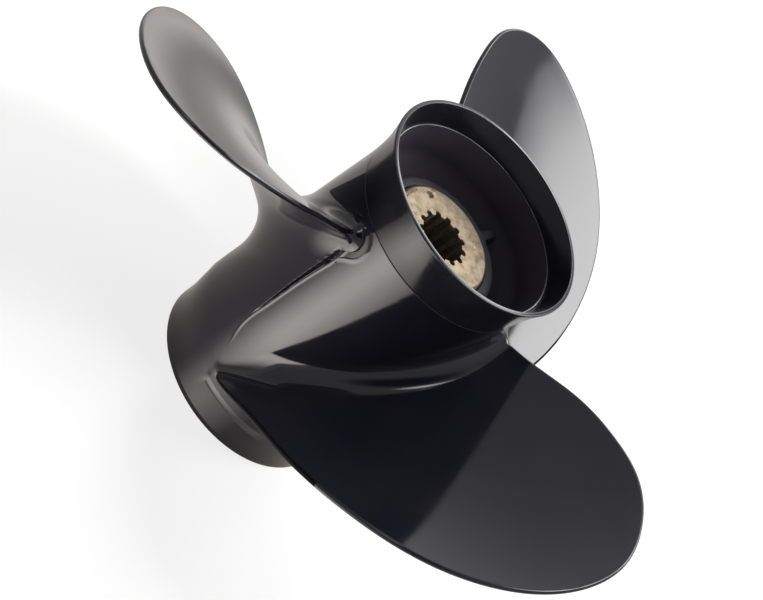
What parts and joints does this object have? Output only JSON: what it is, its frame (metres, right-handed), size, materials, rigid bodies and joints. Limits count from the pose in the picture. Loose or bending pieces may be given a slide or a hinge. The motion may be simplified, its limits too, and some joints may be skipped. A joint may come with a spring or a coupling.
{
  "type": "boat propeller",
  "caption": "Outboard boat propeller with raked, overlapping blades on a flared exhaust barrel and a splined brass sleeve in a rubber bush.",
  "frame": {"origin": "on the shaft axis at the front rim of the barrel, the rim the part stands on", "axes": "+Z along the shaft axis, pointing aft to the flared end; +X along the reference line of blade_1; the blades follow at 120 degrees, anticlockwise seen from aft"},
  "size_m": [0.2706, 0.2859, 0.1486],
  "materials": {
    "gloss_black_paint": "gloss black enamel on die-cast aluminium",
    "bush_rubber": "matte moulded rubber",
    "sleeve_brass": "machined, slightly dulled brass"
  },
  "bodies": {
    "casting": {"barrel": "gloss_black_paint", "blade_1": "gloss_black_paint", "blade_2": "gloss_black_paint", "blade_3": "gloss_black_paint", "inner_hub": "gloss_black_paint", "rib_1": "gloss_black_paint", "rib_2": "gloss_black_paint", "rib_3": "gloss_black_paint", "diffuser_ring": "gloss_black_paint"},
    "bush": {"rubber_bush": "bush_rubber"},
    "sleeve": {"splined_sleeve": "sleeve_brass"}
  },
  "joints": [
    {"name": "bush_slip", "type": "hinge", "parent": "casting", "child": "bush", "pos_m": [0, 0, 0.07], "axis": [0, 0, 1], "continuous": true},
    {"name": "sleeve_windup", "type": "hinge", "parent": "bush", "child": "sleeve", "pos_m": [0, 0, 0.07], "axis": [0, 0, 1], "range_deg": [-8, 8], "stiffness_Nm_per_rad": 900}
  ]
}
